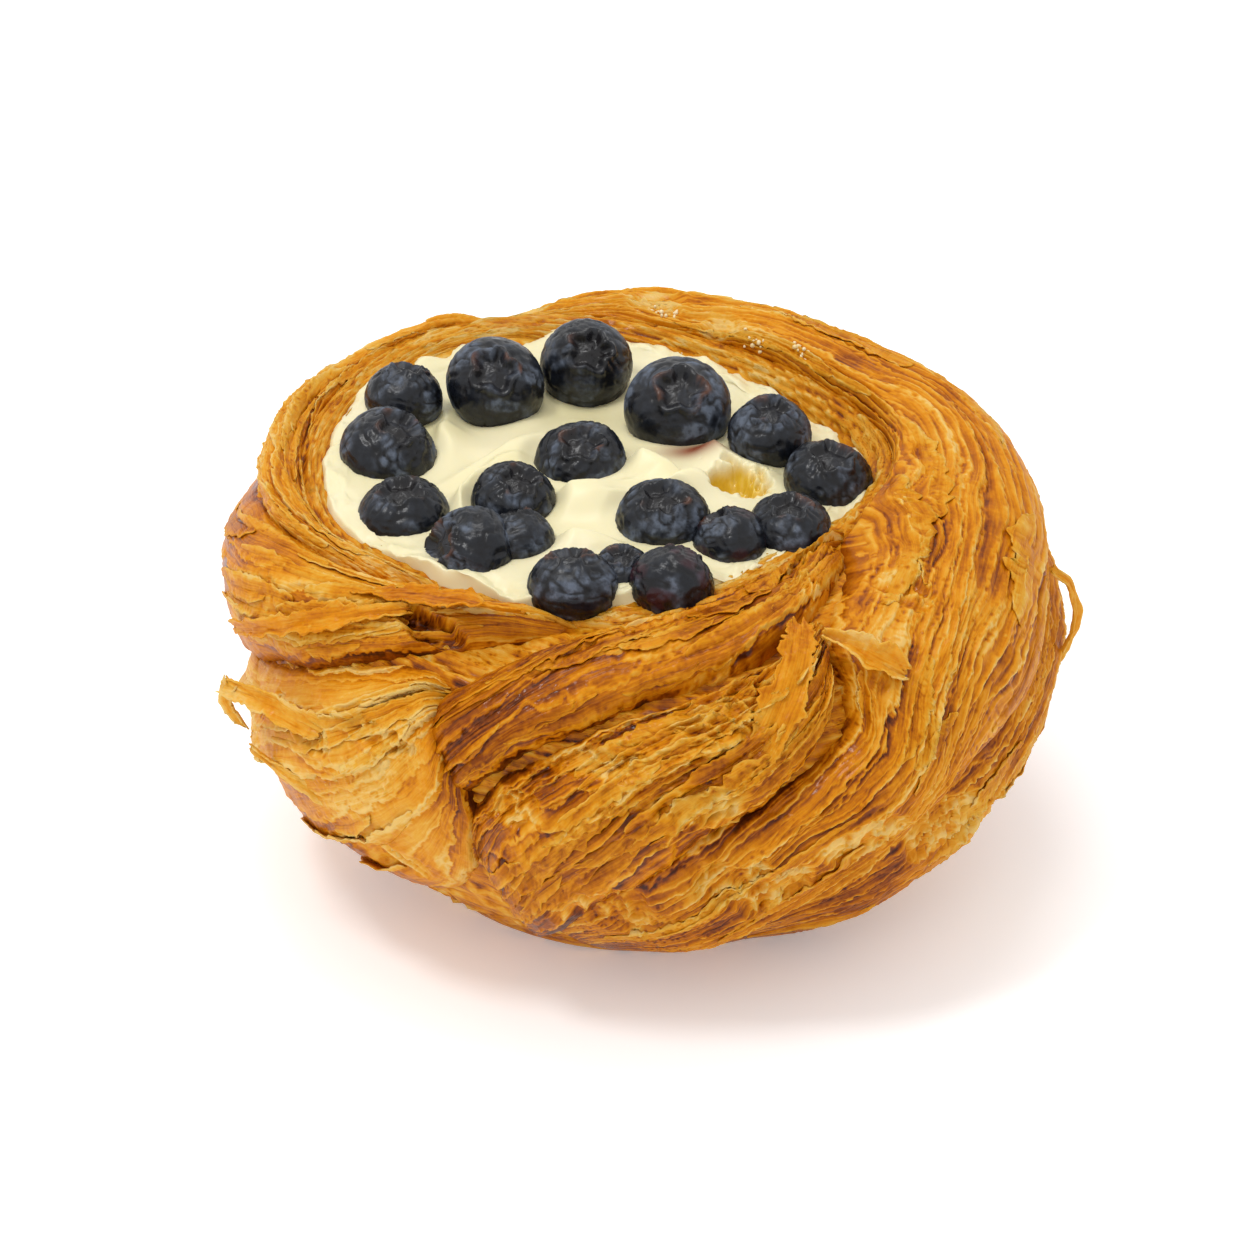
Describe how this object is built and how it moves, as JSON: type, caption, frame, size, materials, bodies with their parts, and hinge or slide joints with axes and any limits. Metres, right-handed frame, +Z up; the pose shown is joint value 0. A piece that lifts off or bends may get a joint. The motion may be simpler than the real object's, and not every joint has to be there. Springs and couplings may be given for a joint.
{
  "type": "danish pastry",
  "caption": "Round flaky Danish pastry: coiled laminated dough round a pool of cream set with blueberries.",
  "frame": {"origin": "middle of the flat underside", "axes": "+Z up, -Y towards the front, where the cream stands level with the rim"},
  "size_m": [0.1232, 0.1228, 0.0702],
  "materials": {
    "pastry": "baked flaky dough, golden brown with darker glazed bands, satin",
    "cream": "smooth glossy pale yellow cream",
    "berry": "blue-black skin with a grey-blue bloom"
  },
  "bodies": {
    "root": {"pastry": "pastry", "cream": "cream", "berry_back_left": "berry", "berry_left": "berry", "berry_left_front": "berry", "berry_back_big": "berry", "berry_back_middle": "berry", "berry_right_big": "berry", "berry_right_back": "berry", "berry_right_edge": "berry", "berry_right_front": "berry", "berry_tucked_right": "berry", "berry_centre_right": "berry", "berry_centre": "berry", "berry_centre_left": "berry", "berry_front_left": "berry", "berry_tucked_left": "berry", "berry_front": "berry", "berry_tucked_front": "berry", "berry_front_right": "berry"}
  },
  "joints": []
}
